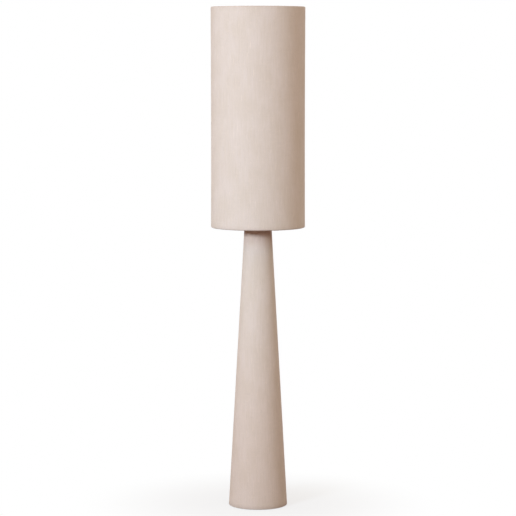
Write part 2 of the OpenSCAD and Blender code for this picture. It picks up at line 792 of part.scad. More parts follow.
module bulb_cap() {
  male = bulb_thread(0, cap_turns);
  low = contact_z + 4;
  root_r = male[0].x;
  inner_r = root_r - cap_wall;
  lip_r = inner_r - 1.6;
  top_r = bulb_thread_d / 2 + cap_wall;
  color(nickel) rotate_extrude() polygon(concat(
    [[lip_r, low], [inner_r, low], [root_r, low + 1.4]], male,
    [[top_r, male[len(male) - 1].y + 1.5], [top_r, cap_top_z], [inner_r, cap_top_z]],
    [[inner_r, low + 1.6], [lip_r, low + cap_wall]]
  ));
}

module bulb_insulator() {
  seat = contact_z + 4;
  color(black_plastic) rotate_extrude() polygon([
    [0, seat], [0, contact_z + contact_h], [contact_r, contact_z + contact_h], [contact_r, contact_z + 1.2],
    [contact_r + 1, contact_z + 1.2], [11, seat - 0.3], [11, seat]
  ]);
}

contact_r = 4.5;
contact_h = 2.2;
module bulb_contact() {
  round = 1.4;
  color(nickel) rotate_extrude() polygon(concat(
    [[0, contact_z + contact_h], [0, contact_z]],
    arc([contact_r - round, contact_z + round], round, -90, 0, 5),
    [[contact_r, contact_z + contact_h]]
  ));
}

// Plastic body between the cap and the globe, with a ledge for the board
module bulb_housing() {
  foot_r = bulb_thread_d / 2 - bulb_thread_depth - cap_wall - 0.15;
  neck_r = bulb_thread_d / 2 + 1;
  rise = globe_cut_z - cap_top_z;
  flare = [for (i = [1:6]) let (t = i / 6)
    [neck_r + (globe_cut_r - neck_r) * (t * t * (3 - 2 * t) * 0.35 + t * 0.65), cap_top_z + rise * t]];
  seat_r = board_r + thread_gap;
  color(white_plastic) rotate_extrude() polygon(concat(
    [[foot_r - housing_wall, cap_thread_z], [foot_r, cap_thread_z], [foot_r, cap_top_z], [neck_r, cap_top_z]],
    flare,
    [[seat_r, globe_cut_z], [seat_r, board_z], [seat_r - board_ledge, board_z]],
    [for (i = [3:-1:0]) flare[i] - [housing_wall, 0]],
    [[foot_r - housing_wall, cap_top_z + 3]]
  ));
}

module bulb_globe() {
  low = asin((globe_cut_z + glue_gap - globe_z) / globe_r);
  in_r = globe_r - globe_t;
  in_low = asin((globe_cut_z + glue_gap - globe_z) / in_r);
  color([0.96, 0.95, 0.92]) rotate_extrude() polygon(concat(
    arc([0, globe_z], globe_r, low, 90, 20), arc([0, globe_z], in_r, 90, in_low, 20)
  ));
}

// Round board with a ring of light sources
module led_board() {
  chip = 2.8;
  chip_h = 0.8;
  sunk = 0.1;
  chip_count = 8;
  color(porcelain) union() {
    translate([0, 0, board_z]) cylinder(r = board_r, h = board_t);
    for (i = [0:chip_count - 1]) rotate(i * 360 / chip_count)
      translate([board_r * 0.62 - chip / 2, -chip / 2, board_z + board_t - sunk])
        cube([chip, chip, chip_h + sunk]);
  }
}

// Upright board that hangs under the round one, with its two parts
module led_driver() {
  board_w = 18;
  low = cap_thread_z + 3;
  can_d = 8;
  can_h = 14;
  over_can = 8.8;
  can_z = board_z - over_can - can_h;
  coil = [9, 5, 8];
  color([0.16, 0.35, 0.22]) union() {
    translate([-board_w / 2, -board_t / 2, low]) cube([board_w, board_t, board_z - low]);
    translate([-2, 0, low + 20]) rotate([-90, 0, 0]) cylinder(d = can_d * 0.7, h = can_d * 0.6, $fn = 32);
    translate([0, board_t / 2 + can_d / 2 - 0.2, can_z]) cylinder(d = can_d, h = can_h, $fn = 48);
    translate([-coil.x / 2, -board_t / 2 - coil.y + 0.2, can_z + 1]) cube(coil);
  }
}

// ---- Shade ----

function mirrored(p) = [p.x, 2 * shade_mid_z - p.y];

module shade_cover() {
  fold_z = lamp_h - fold_rise;
  over = arc([fold_r, fold_z], shade_fold_r, 0, 180 + hem_lean, 14);
  lean = over[len(over) - 1];
  hem_z = lean.y - (hem_r(lean.y) - lean.x) / tan(hem_lean);
  top_end = concat(over, [for (z = [hem_z, hem_z - shade_hem]) [hem_r(z), z]]);
  wall = [for (i = [1:wall_steps - 1])
    let (z = shade_mid_z - shade_half + 2 * shade_half * i / wall_steps) [wall_r(z), z]];
  path = concat([for (i = [len(top_end) - 1:-1:0]) mirrored(top_end[i])], wall, top_end);
  color(linen) difference() {
    rotate_extrude() polygon(strip(path, shade_cloth_t));
    arm_places() arm_rod(notch_gap);
  }
}

module shade_liner() {
  z = [for (i = [0:wall_steps]) shade_mid_z + shade_half * (2 * i / wall_steps - 1)];
  out = shade_cloth_t / 2 + glue_gap;
  color(lining_white) rotate_extrude() polygon(concat(
    [for (i = [0:wall_steps]) [wall_r(z[i]) - out, z[i]]],
    [for (i = [wall_steps:-1:0]) [wall_r(z[i]) - out - shade_liner_t, z[i]]]
  ));
}

module wire_ring(z) {
  rotate_extrude() translate([shade_wire_r, z]) circle(d = shade_wire_d, $fn = 32);
}

module shade_top_ring() {
  color(lining_white) wire_ring(lamp_h - fold_rise);
}

module shade_bottom_ring() {
  color(lining_white) wire_ring(shade_z + fold_rise);
}

module arm_places() {
  for (i = [0:arm_count - 1]) rotate(arm_turn + i * 360 / arm_count) children();
}

// One straight arm, from the middle of the lower ring's wire to the flat ring
module arm_rod(gap) {
  run = arm_foot.x - arm_head.x;
  rise = arm_head.y - arm_foot.y;
  skip = shade_wire_d * 0.3 - gap;
  translate([arm_foot.x, 0, arm_foot.y]) rotate([0, -atan2(run, rise), 0]) translate([0, 0, skip])
    cylinder(d = arm_wire_d + 2 * gap, h = norm([run, rise]) - skip, $fn = 32);
}

// The arms end on the wire of the lower ring and on the rim of the flat ring
module spider_arms() {
  color(lining_white) difference() {
    arm_places() arm_rod(0);
    wire_ring(shade_z + fold_rise);
    translate([0, 0, seat_z - arm_wire_d * 2]) cylinder(d = fitter_d, h = arm_wire_d * 4);
  }
}

module fitter_blank() {
  ring(skirt_crest_r + fitter_gap, fitter_d / 2, seat_z, fitter_t);
}

module fitter_ring() {
  color(lining_white) fitter_blank();
}

column_cover();
column_liner();
column_cap();
base_weight();
base_plate();
plate_screws();
felt_pad();
cord_gland();
lower_nipple();
lower_washer();
lower_nut();
centre_tube();
upper_nipple();
cap_washer();
cap_nut();
terminal_block();
terminal_screws();
block_screws();
earth_lug();
earth_screw();
earth_lead();
live_wire();
neutral_wire();
holder_cap();
holder_grub_screw();
holder_body();
holder_insert();
screw_shell();
centre_contact();
holder_terminals();
holder_terminal_screws();
shade_cover();
shade_liner();
shade_top_ring();
shade_bottom_ring();
spider_arms();
fitter_ring();
clamp_ring();
bulb_cap();
bulb_insulator();
bulb_contact();
bulb_housing();
bulb_globe();
led_board();
led_driver();
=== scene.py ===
import math

import bpy
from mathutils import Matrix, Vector


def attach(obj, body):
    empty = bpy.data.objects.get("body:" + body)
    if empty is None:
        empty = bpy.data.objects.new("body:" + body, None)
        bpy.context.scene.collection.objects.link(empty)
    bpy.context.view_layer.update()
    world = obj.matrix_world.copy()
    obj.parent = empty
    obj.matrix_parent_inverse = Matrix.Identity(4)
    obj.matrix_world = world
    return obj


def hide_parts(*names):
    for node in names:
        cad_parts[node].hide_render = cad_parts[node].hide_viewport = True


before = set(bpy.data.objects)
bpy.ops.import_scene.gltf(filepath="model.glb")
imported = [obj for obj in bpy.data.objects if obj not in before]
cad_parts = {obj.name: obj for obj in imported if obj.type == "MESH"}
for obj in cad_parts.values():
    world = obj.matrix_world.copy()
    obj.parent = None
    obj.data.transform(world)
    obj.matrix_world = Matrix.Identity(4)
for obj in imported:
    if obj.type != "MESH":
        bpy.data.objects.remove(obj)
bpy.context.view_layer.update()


# ---- The cone of board inside the column ----
# Grey fibre board, rolled into a tapered tube and glued along its edge. It carries the
# cloth, which hides it and is turned in round both of its ends.

MM = 0.001


class Value:
    """One output of a node, so that the maths of a tree reads as sums."""

    def __init__(self, tree, node, socket):
        self.tree, self.node, self.socket = tree, node, socket

    def out(self, name):
        return Value(self.tree, self.node, chosen(self.node.outputs, name))

    def __add__(self, other):
        return self.tree.math("ADD", self, other)

    def __sub__(self, other):
        return self.tree.math("SUBTRACT", self, other)

    def __rsub__(self, other):
        return self.tree.math("SUBTRACT", other, self)

    def __mul__(self, other):
        return self.tree.math("MULTIPLY", self, other)

    def __truediv__(self, other):
        return self.tree.math("DIVIDE", self, other)

    def __pow__(self, other):
        return self.tree.math("POWER", self, other)

    __radd__, __rmul__ = __add__, __mul__


def chosen(sockets, name):
    """The socket of that name or number, among those that the node's settings leave in use."""
    used = [s for s in sockets if s.enabled]
    return used[name] if isinstance(name, int) else next(s for s in used if s.name == name)


class Tree:
    """A node tree that is written as calls: each one places a node and sets its sockets."""

    def __init__(self, tree):
        self.tree = tree

    def add(self, kind, settings=None, inputs=None, output=0):
        """Places a node, and gives its output of that name or number if it has any."""
        node = self.tree.nodes.new(kind)
        for name, value in (settings or {}).items():
            setattr(node, name, value)
        for name, value in (inputs or {}).items():
            self.feed(chosen(node.inputs, name), value)
        if node.outputs:
            return Value(self, node, chosen(node.outputs, output))

    def feed(self, socket, value):
        if isinstance(value, list):
            for one in value:
                self.tree.links.new(one.socket, socket)
        elif isinstance(value, Value):
            self.tree.links.new(value.socket, socket)
        elif socket.type == "RGBA":
            socket.default_value = (*value, 1)
        else:
            socket.default_value = value

    def math(self, operation, *values):
        return self.add("ShaderNodeMath", {"operation": operation}, dict(enumerate(values)))

    def vector(self, operation, *values, output=0):
        return self.add("ShaderNodeVectorMath", {"operation": operation}, dict(enumerate(values)), output)

    def parts(self, vector):
        x = self.add("ShaderNodeSeparateXYZ", None, {0: vector})
        return x, x.out("Y"), x.out("Z")

    def joined(self, x, y, z):
        return self.add("ShaderNodeCombineXYZ", None, {0: x, 1: y, 2: z})

    def noise(self, where, lumps=1, detail=2.0):
        """Smooth noise round a half, with so many lumps in a metre, or so many each way."""
        if not isinstance(lumps, tuple):
            lumps = (lumps, lumps, lumps)
        return self.add("ShaderNodeTexNoise", None,
                        {"Vector": self.vector("MULTIPLY", where, lumps), "Scale": 1, "Detail": detail})

    def fade(self, value, start, end, low=0.0, high=1.0):
        """Low up to start, high beyond end, and a smooth change between."""
        return self.add("ShaderNodeMapRange", {"interpolation_type": "SMOOTHSTEP"},
                        {"Value": value, "From Min": start, "From Max": end, "To Min": low, "To Max": high})


class Finish(Tree):
    """A material. What changes over the surface is linked, and the rest is set on the shader."""

    def __init__(self, name, **constants):
        self.material = bpy.data.materials.new(name)
        self.material.use_nodes = True
        super().__init__(self.material.node_tree)
        self.shader = self.tree.nodes["Principled BSDF"]
        self.place = self.add("ShaderNodeTexCoord", output="Object")
        self.set(**constants)

    def set(self, **sockets):
        for name, value in sockets.items():
            self.feed(self.shader.inputs[name.replace("_", " ")], value)

    def mix(self, factor, first, second, way="MIX"):
        return self.add("ShaderNodeMix", {"data_type": "RGBA", "blend_type": way},
                        {"Factor": factor, "A": first, "B": second})

    def tinted(self, colour, tint):
        return self.mix(1.0, colour, tint, "MULTIPLY")

    def stored(self, name):
        """A value that the mesh holds at each point."""
        return self.add("ShaderNodeAttribute", {"attribute_name": name}, output="Fac")

    def bump(self, height, depth):
        """Height, from 0 to 1, stands for that depth of relief."""
        self.set(Normal=self.add("ShaderNodeBump", None, {"Height": height, "Distance": depth}))


def coat(finish, *names):
    """Gives CAD nodes their finish."""
    for name in names:
        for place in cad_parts[name].material_slots:
            place.material = finish.material


board = Finish("fibre_board", Specular_IOR_Level=0.2)
pulp = board.noise(board.place, (900, 900, 260), 4)
fleck = board.noise(board.place, 2600)
board.set(Base_Color=board.mix(board.fade(pulp, 0.3, 0.7), (0.36, 0.33, 0.29), (0.50, 0.47, 0.42)),
          Roughness=board.fade(fleck, 0.3, 0.7, 0.82, 0.96))
board.bump(pulp * 0.6 + fleck * 0.4, 0.12 * MM)
coat(board, "column_liner")


# ---- The column's cloth ----
# Plain-woven linen-look cloth on a paper back, cut as part of a ring, wrapped once round
# the cone and glued. Its long edges lap beside the cord gland, and both ends fold inwards.

glue_gap = 0.05 * MM


def arc(centre, radius, start, stop, steps):
    """Points (r, z) along part of a circle, angles in degrees."""
    angles = [math.radians(start + (stop - start) * i / steps) for i in range(steps + 1)]
    return [(centre[0] + radius * math.cos(a), centre[1] + radius * math.sin(a)) for a in angles]


def steps_between(first, last, count):
    """The points strictly between two, evenly spaced."""
    return [tuple(a + (b - a) * i / count for a, b in zip(first, last)) for i in range(1, count)]


def distances(line):
    """How far along the line each of its points is."""
    run = [0.0]
    for a, b in zip(line, line[1:]):
        run.append(run[-1] + math.dist(a, b))
    return run


def in_scene(name, data):
    """A new object of that data, put into the scene."""
    piece = bpy.data.objects.new(name, data)
    bpy.context.scene.collection.objects.link(piece)
    return piece


def section_object(name, line, **facts):
    """A sheet's section as a mesh of points (r, 0, z). It keeps the side that the sheet's face
    is on at each point, and what else is given for the points, such as the cut's radius."""
    mesh = bpy.data.meshes.new(name)
    mesh.from_pydata([(r, 0, z) for r, z in line], [(i, i + 1) for i in range(len(line) - 1)], [])
    face = mesh.attributes.new("face_side", "FLOAT_VECTOR", "POINT")
    for i in range(len(line)):
        before, after = line[max(i - 1, 0)], line[min(i + 1, len(line) - 1)]
        face.data[i].vector = Vector((after[1] - before[1], 0, before[0] - after[0])).normalized()
    for fact, values in facts.items():
        mesh.attributes.new(fact, "FLOAT", "POINT").data.foreach_set("value", values)
    return in_scene(name, mesh)


class Shape(Tree):
    """A Geometry Nodes tree with a named input for each size."""

    def __init__(self, name, floats, wholes):
        super().__init__(bpy.data.node_groups.new(name, "GeometryNodeTree"))
        kinds = [("Geometry", "NodeSocketGeometry"), ("Material", "NodeSocketMaterial")]
        kinds += [(size, "NodeSocketFloat") for size in floats]
        kinds += [(size, "NodeSocketInt") for size in wholes]
        for size, kind in kinds:
            self.tree.interface.new_socket(size, in_out="INPUT", socket_type=kind)
        self.tree.interface.new_socket("Geometry", in_out="OUTPUT", socket_type="NodeSocketGeometry")
        self.sizes = self.add("NodeGroupInput")

    def size(self, name):
        return self.sizes.out(name)

    def named(self, name, kind="FLOAT"):
        return self.add("GeometryNodeInputNamedAttribute", {"data_type": kind}, {"Name": name})

    def store(self, geometry, name, value, kind="FLOAT", domain="POINT"):
        return self.add("GeometryNodeStoreNamedAttribute", {"data_type": kind, "domain": domain},
                        {"Geometry": geometry, "Name": name, "Value": value})

    def random(self, low, high, seed):
        return self.add("FunctionNodeRandomValue", {"data_type": "FLOAT"},
                        {"Min": low, "Max": high, "Seed": seed})

    def finish(self, geometry):
        geometry = self.add("GeometryNodeSetShadeSmooth", None, {"Geometry": geometry})
        geometry = self.add("GeometryNodeRealizeInstances", None, {"Geometry": geometry})
        geometry = self.add("GeometryNodeSetMaterial", None,
                            {"Geometry": geometry, "Material": self.size("Material")})
        self.add("NodeGroupOutput", None, {"Geometry": geometry})


def plain(piece, sharp=40):
    """Makes what the modifiers give the piece's own mesh, takes them off, and keeps edges
    that turn by more than that many degrees sharp. At 180 every edge is smooth."""
    bpy.context.view_layer.update()
    seen = bpy.context.evaluated_depsgraph_get()
    mesh = bpy.data.meshes.new_from_object(piece.evaluated_get(seen),
                                           preserve_all_data_layers=True, depsgraph=seen)
    piece.modifiers.clear()
    piece.data = mesh
    mesh.name = piece.name
    mesh.set_sharp_from_angle(angle=math.radians(sharp))


def shaped(piece, shape, **sizes):
    """Runs a shape's tree on the piece, with each size set on its own socket."""
    modifier = piece.modifiers.new("shape", "NODES")
    modifier.node_group = shape.tree
    for item in shape.tree.interface.items_tree:
        size = item.name.replace(" ", "_")
        if item.in_out == "INPUT" and size in sizes:
            given = sizes[size]
            modifier[item.identifier] = float(given) if item.socket_type == "NodeSocketFloat" else given


# The wrap takes a section and turns it round the lamp's axis as one open sheet, whose
# second edge laps over the first. "flat_r" is the radius at which the flat cut would fit
# each row. Where the cloth is turned in it is too wide for that, and puckers.
wrap = Shape("wrap_round_axis",
             ("Seam", "Lap", "Lift", "Ramp", "Apex Sine", "Puckers", "Uneven"), ("Columns",))
section = wrap.size("Geometry")
rows = wrap.add("GeometryNodeAttributeDomainSize", {"component": "MESH"}, {"Geometry": section})
grid = wrap.add("GeometryNodeMeshGrid", None, {"Vertices X": wrap.size("Columns"), "Vertices Y": rows})
grid_point = wrap.add("GeometryNodeInputIndex")
grid_column = wrap.math("FLOOR", (grid_point + 0.5) / rows)
grid_row = grid_point - grid_column * rows


def on_row(fact, kind="FLOAT"):
    """What the section holds for the row that a point of the grid is on."""
    return wrap.add("GeometryNodeSampleIndex", {"data_type": kind, "domain": "POINT", "clamp": True},
                    {"Geometry": section, "Value": fact, "Index": grid_row})


flat_r, cut_y, fold, ripple, lapped = [
    on_row(wrap.named(fact)) for fact in ("flat_r", "cut_y", "fold", "ripple", "lapped")]
width = flat_r * (2 * math.pi) + wrap.size("Lap")
along = grid_column / (wrap.size("Columns") - 1)
cut_x = (along - 0.5) * width
turn = cut_x / flat_r
from_edge = (1 - along) * width
climbed = wrap.fade(from_edge, wrap.size("Lap") + wrap.size("Ramp"), wrap.size("Lap"))
lift = climbed * wrap.size("Lift") * lapped
around = wrap.joined(wrap.math("SINE", turn), wrap.math("COSINE", turn), 0)
# The puckers' places wander by up to so many radians, and some are only this share as full
pucker_wander, flattest_pucker = 9, 0.35
wave = wrap.math("COSINE", turn * wrap.size("Puckers") + wrap.noise(around, 7, 1) * pucker_wander)
full = wrap.fade(wrap.noise(around, 13), 0.35, 0.65, flattest_pucker, 1)
pucker = ripple * (1 - wave) * full
wall_r, _, wall_z = wrap.parts(on_row(wrap.add("GeometryNodeInputPosition"), "FLOAT_VECTOR"))
side_r, _, side_z = wrap.parts(on_row(wrap.named("face_side", "FLOAT_VECTOR"), "FLOAT_VECTOR"))
lump = wrap.noise(wrap.joined(cut_x, wall_z, 0), (9, 5, 1), 2) * wrap.size("Uneven") * (1 - fold)
rise = lift + pucker + lump
far, high = wall_r + side_r * rise, wall_z + side_z * rise
facing = turn + wrap.size("Seam")
spot = wrap.joined(far * wrap.math("SINE", facing), far * wrap.math("COSINE", facing) * -1, high)
sheet = wrap.add("GeometryNodeSetPosition", None, {"Geometry": grid, "Position": spot})
# Where a point lies on the flat cut: part of a ring for a cone, a plain strip for a drum,
# whose lean of nothing is kept just off it so that it can be divided by
least_lean = 1e-6
lean = turn * wrap.size("Apex Sine") + least_lean
chord = cut_x * wrap.math("SINE", lean) / lean
on_cut = wrap.joined(chord, cut_y + chord * wrap.math("TANGENT", lean / 2), 0)
sheet = wrap.store(sheet, "cut", on_cut, "FLOAT_VECTOR")
sheet = wrap.store(sheet, "fold", fold)
sheet = wrap.store(sheet, "UVMap", wrap.named("cut", "FLOAT_VECTOR"), "FLOAT2", "CORNER")
wrap.finish(sheet)

column_foot_r, column_top_r = 94 * MM, 42 * MM
column_low_z, column_high_z = 1 * MM, 923.5 * MM
column_thick, column_fold = 0.8 * MM, 1.25 * MM
column_hem, column_lap, column_seam = 18 * MM, 10 * MM, math.radians(9)
column_ripple = 0.04 * MM
column_slope = (column_top_r - column_foot_r) / (column_high_z - column_low_z)
column_edge = column_fold + column_thick / 2


def column_r(z):
    return column_foot_r + column_slope * (z - column_low_z)


def fold_shade(line, low, high):
    """1 on the turned ends, painted darker there partly for glue and handling and partly as painted shade,
    and 0 beyond their reach.
    """
    reach = 4 * MM
    return [min(1, max(0, 1 - min(z - low, high - z) / reach)) for r, z in line]


low_z, high_z = column_low_z + column_edge, column_high_z - column_edge
lower = arc((column_r(low_z) - column_edge, low_z), column_fold, 180, 360, 10)
upper = arc((column_r(high_z) - column_edge, high_z), column_fold, 0, 180, 10)
low_hem = (lower[0][0] + column_slope * column_hem, lower[0][1] + column_hem)
high_hem = (upper[-1][0] - column_slope * column_hem, upper[-1][1] - column_hem)
hem_steps, wall_steps = 4, 70
column_line = [low_hem] + steps_between(low_hem, lower[0], hem_steps) + lower
column_line += steps_between(lower[-1], upper[0], wall_steps) + upper
column_line += steps_between(upper[-1], high_hem, hem_steps) + [high_hem]
column_run = distances(column_line)
apex_sine = -column_slope / math.hypot(1, column_slope)
wall_at = column_line.index(lower[-1])
reach_of = [lower[-1][0] / apex_sine - (d - column_run[wall_at]) for d in column_run]
cloth = section_object("column_cloth", column_line,
                       flat_r=[apex_sine * x for x in reach_of], cut_y=column_run,
                       fold=fold_shade(column_line, column_low_z, column_high_z),
                       ripple=[column_ripple if low_z > z or z > high_z else 0 for r, z in column_line],
                       lapped=[1] * len(column_line))

# The cloth's finish: threads in the cut's own directions, drawn from its UV map. Thick
# yarns and a slow change from yarn to yarn give the dashes and streaks that the cloth shows.
linen = Finish("linen", Sheen_Weight=0.06, Sheen_Roughness=0.45, Specular_IOR_Level=0.15)
cut = linen.add("ShaderNodeUVMap", {"uv_map": "UVMap"})
across, up, _ = linen.parts(cut)
x, y, height = linen.parts(linen.place)
warp_in_metre, weft_in_metre, thread_wander = 1750, 1550, 1.2 * MM
warp = (across + linen.noise(cut, (45, 9, 1)) * thread_wander) * warp_in_metre
weft = (up + linen.noise(cut, (9, 45, 1)) * thread_wander) * weft_in_metre
warp_no, weft_no = linen.math("FLOOR", warp), linen.math("FLOOR", weft)


def rounded(thread):
    """The section of a thread: 1 along its middle, 0 at its sides."""
    return 1 - (linen.math("FRACT", thread) * 2 - 1) ** 2


def woven(thread, crossing, over):
    """The height of a thread, which passes over one crossing thread and under the next."""
    half_way = 0.6
    return rounded(thread) * (half_way + over * linen.math("COSINE", crossing * math.pi))


def swing(noise, start, end, share):
    """Darkens and lightens by up to that share, as the noise goes from start to end."""
    return linen.fade(noise, start, end, -share, share)


weave = linen.math("MAXIMUM", woven(warp, weft + warp_no, 0.4), woven(weft, warp + weft_no, -0.4))
# From yarn to yarn the noise moves on by a share of a lump, and a yarn changes slowly along it
yarn_step, cross_yarn_step, yarn_lumps, cross_yarn_lumps = 0.37, 0.41, 26, 30
yarn = linen.noise(linen.joined(warp_no * yarn_step, up * yarn_lumps, 0), detail=1)
cross_yarn = linen.noise(linen.joined(across * cross_yarn_lumps, weft_no * cross_yarn_step, 0), detail=1)
streak, cross_streak = linen.noise(cut, (230, 13, 1), 3), linen.noise(cut, (16, 260, 1), 2)
cloud = linen.noise(cut, (18, 11, 1), 3)
spun = linen.noise(cut, (300, 58, 1), 1)
slub, thin_place = linen.fade(spun, 0.64, 0.72), linen.fade(spun, 0.35, 0.27)
cross_slub = linen.fade(linen.noise(cut, (58, 320, 1), 1), 0.68, 0.75)
# Where the weave is low, between the threads, the tone is painted darker: painted shade in the weave's
# hollows.
tone = (swing(streak, 0.3, 0.7, 0.006) + swing(yarn, 0.25, 0.75, 0.015)
        + swing(cross_yarn, 0.25, 0.75, 0.012) + swing(cross_streak, 0.35, 0.7, 0.006)
        + swing(cloud, 0.3, 0.7, 0.012) + slub * 0.055 - thin_place * 0.03 + cross_slub * 0.04
        + linen.fade(weave, 0.0, 0.9, -0.10, 0.03) + linen.stored("pale"))
flax = linen.mix(linen.fade(streak + cloud, 0.7, 1.3), (0.72, 0.61, 0.505), (0.74, 0.635, 0.55))
# It is painted darker and redder towards the floor: painted shade for the dimmer, redder light low down.
# At the column's top, under the shade's mouth, it is painted redder: painted bounce light from the shade.
# The turned edges are painted darker, partly for glue and handling and partly as painted shade on the rolled
# edge.
untinted, painted_low_shade, painted_bounce_tint = (1.0, 1.0, 1.0), (0.98, 0.90, 0.87), (1.09, 1.0, 0.95)
edge_shade_and_glue, most_edge_darkening = (0.50, 0.36, 0.29), 0.55
# Painted shade: darker and redder towards the floor
flax = linen.tinted(flax, linen.mix(linen.fade(height, 0.0, 0.85), painted_low_shade, untinted))
# Painted bounce light: redder at the column's top, just under the shade's mouth
from_axis = linen.vector("LENGTH", linen.joined(x, y, 0), output="Value")
painted_bounce_share = linen.fade(height, 0.82, 0.88) * linen.fade(from_axis, 0.08, 0.11, 1, 0)
flax = linen.tinted(flax, linen.mix(painted_bounce_share, untinted, painted_bounce_tint))
# Painted darker on the turned edges: partly glue and handling, partly painted shade
flax = linen.mix(linen.stored("fold") * most_edge_darkening, flax, edge_shade_and_glue)
bright = linen.add("ShaderNodeCombineColor", None, {0: 1 + tone, 1: 1 + tone, 2: 1 + tone})
linen.set(Base_Color=linen.tinted(flax, bright), Roughness=linen.fade(weave + yarn, 0.3, 1.4, 0.95, 0.82))
linen.bump(weave * 0.2 + slub * 0.9 + cross_slub * 0.6 + yarn * 0.08, 0.25 * MM)

shaped(cloth, wrap, Material=linen.material, Columns=300, Seam=column_seam, Lap=column_lap,
       Lift=column_thick + glue_gap, Ramp=5 * MM, Uneven=0.12 * MM, Puckers=70, Apex_Sine=apex_sine)


def thicken(piece, thickness):
    solid = piece.modifiers.new("thickness", "SOLIDIFY")
    solid.thickness, solid.offset, solid.use_even_offset = thickness, 0, False


def rod(name, start, end, radius):
    """A straight round bar between two points, used to cut a hole."""
    sides = 32
    start, end = Vector(start), Vector(end)
    turn = (end - start).to_track_quat("Z", "Y")
    ring = [turn @ Vector((math.cos(a), math.sin(a), 0)) * radius
            for a in (2 * math.pi * i / sides for i in range(sides))]
    faces = [(i, (i + 1) % sides, sides + (i + 1) % sides, sides + i) for i in range(sides)]
    faces += [tuple(reversed(range(sides))), tuple(range(sides, 2 * sides))]
    mesh = bpy.data.meshes.new(name)
    mesh.from_pydata([start + p for p in ring] + [end + p for p in ring], [], faces)
    return mesh


def cut_out(piece, *bars):
    """Cuts bars out of a thickened sheet."""
    cutters = [in_scene(bar.name, bar) for bar in bars]
    for cutter in cutters:
        hole = piece.modifiers.new("hole", "BOOLEAN")
        hole.operation, hole.solver, hole.object = "DIFFERENCE", "MANIFOLD", cutter
    plain(piece)
    for cutter in cutters:
        bpy.data.objects.remove(cutter)


gland_z, gland_hole_r = 12.5 * MM, 5.6 * MM
inside_wall_y, outside_wall_y = 80 * MM, 100 * MM
thicken(cloth, column_thick)
cut_out(cloth, rod("gland_hole", (0, inside_wall_y, gland_z), (0, outside_wall_y, gland_z), gland_hole_r))
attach(cloth, "column")
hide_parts("column_cover")


# ---- Slubs on the column's cloth ----
# The thick places of the yarn, spun into it, which stand a little proud of the weave.
# Most lie in the upright threads, and a few in the cross threads.

slubs = Shape("slubs_on_cloth",
              ("Middle Radius", "Middle Height", "Half Height", "Slope", "Waist", "Apex Sine", "Seam",
               "Low", "High", "Upright Density", "Cross Density"), ("Seed",))
x, y, z = slubs.parts(slubs.add("GeometryNodeInputPosition"))
from_middle = z - slubs.size("Middle Height")
wall = (slubs.size("Middle Radius") + slubs.size("Slope") * from_middle
        + slubs.size("Waist") * (from_middle / slubs.size("Half Height")) ** 2)
outward = slubs.vector("NORMALIZE", slubs.joined(x, y, 0))
level = slubs.vector("NORMALIZE", slubs.joined(y * -1, x, 0))
sloped = slubs.vector("ADD", slubs.vector("SCALE", outward, slubs.size("Slope")), (0, 0, 1))
climb = slubs.vector("NORMALIZE", sloped)
from_front = slubs.math("ARCTAN2", x, y * -1) - slubs.size("Seam")
from_front = slubs.math("FLOORED_MODULO", from_front + math.pi, 2 * math.pi) - math.pi
grain_lean = from_front * slubs.size("Apex Sine")
outer_face = slubs.vector("DOT_PRODUCT", slubs.add("GeometryNodeInputNormal"), outward, output="Value")
flat_out, still_flat = 0.9, 0.01
on_wall = (slubs.math("GREATER_THAN", outer_face, flat_out)
           * slubs.math("LESS_THAN", slubs.named("fold"), still_flat))


def grain_line(main, other):
    """The direction of a thread there: the cone's grain leans, more and more towards the back."""
    return slubs.vector("ADD", slubs.vector("SCALE", main, slubs.math("COSINE", grain_lean)),
                        slubs.vector("SCALE", other, slubs.math("SINE", grain_lean)))


def spindles(density, seed, grain, shortest, longest):
    """Thick places along one direction of the threads, each of its own length and thickness.
    A slub is low and broad, and the thicker ones are the broadest."""
    thinnest, thicker_by, broad, narrowed = 0.08 * MM, 0.20 * MM, 5, 0.1 * MM
    darkest, palest = -0.03, 0.10
    points = slubs.add("GeometryNodeDistributePointsOnFaces", None,
                       {"Mesh": slubs.size("Geometry"), "Selection": on_wall, "Density": density,
                        "Seed": slubs.size("Seed") + seed})
    normal = points.out("Normal")
    points = slubs.store(points, "grain", grain, "FLOAT_VECTOR")
    points = slubs.store(points, "face", normal, "FLOAT_VECTOR")
    points = slubs.store(points, "thick", slubs.random(0, 1, seed + 1) ** 2 * thicker_by + thinnest)
    points = slubs.store(points, "pale", slubs.random(darkest, palest, seed + 4))
    turn = slubs.add("FunctionNodeAlignRotationToVector", {"axis": "X"},
                     {"Vector": slubs.named("grain", "FLOAT_VECTOR")})
    turn = slubs.add("FunctionNodeAlignRotationToVector", {"axis": "Z", "pivot_axis": "X"},
                     {"Rotation": turn, "Vector": slubs.named("face", "FLOAT_VECTOR")})
    spindle = slubs.add("GeometryNodeMeshUVSphere", None, {"Segments": 8, "Rings": 7, "Radius": 1.0})
    spindle = slubs.add("GeometryNodeTransform", None, {"Geometry": spindle, "Rotation": (0, math.pi / 2, 0)})
    spindle = slubs.store(spindle, "stand", slubs.parts(slubs.add("GeometryNodeInputPosition"))[2])
    size = slubs.joined(slubs.random(shortest / 2, longest / 2, seed + 2),
                        slubs.named("thick") * broad - narrowed, slubs.named("thick"))
    return slubs.add("GeometryNodeInstanceOnPoints", None,
                     {"Points": points, "Instance": spindle, "Rotation": turn, "Scale": size})


upright_seed, cross_seed = 10, 20
upright = spindles(slubs.size("Upright Density"), upright_seed, grain_line(climb, level), 8 * MM, 30 * MM)
cross = spindles(slubs.size("Cross Density"), cross_seed,
                 grain_line(level, slubs.vector("SCALE", climb, -1)), 8 * MM, 18 * MM)
both = slubs.add("GeometryNodeJoinGeometry", None, {"Geometry": [upright, cross]})
both = slubs.add("GeometryNodeRealizeInstances", None, {"Geometry": both})
